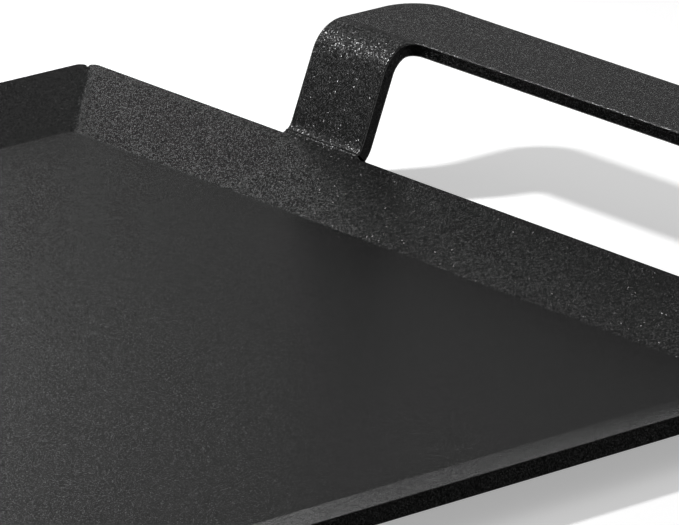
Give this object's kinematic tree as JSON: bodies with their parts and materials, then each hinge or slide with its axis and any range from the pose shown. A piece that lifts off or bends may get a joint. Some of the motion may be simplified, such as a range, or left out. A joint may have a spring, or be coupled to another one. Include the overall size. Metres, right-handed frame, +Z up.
{
  "type": "camp griddle plate",
  "caption": "Shallow rectangular griddle plate of folded steel sheet, with sloped rims and a bent flat strap handle welded to each short side, for cooking over a camp stove.",
  "frame": {"origin": "under the middle of the plate, on the surface that it stands on", "axes": "+X along the long sides towards the right handle, +Y towards the back, +Z up"},
  "size_m": [0.5056, 0.2876, 0.0373],
  "materials": {
    "pan_coating": "matt black non-stick coating with fine metallic flake",
    "handle_coating": "matt black baked coating with coarse metallic flake",
    "weld_coating": "ground weld under the same black coating"
  },
  "bodies": {
    "root": {"griddle_pan": "pan_coating", "right_handle": "handle_coating", "left_handle": "handle_coating", "back_right_corner_weld": "weld_coating", "back_left_corner_weld": "weld_coating", "front_right_corner_weld": "weld_coating", "front_left_corner_weld": "weld_coating", "right_handle_back_weld": "weld_coating", "right_handle_front_weld": "weld_coating", "left_handle_back_weld": "weld_coating", "left_handle_front_weld": "weld_coating"}
  },
  "joints": []
}
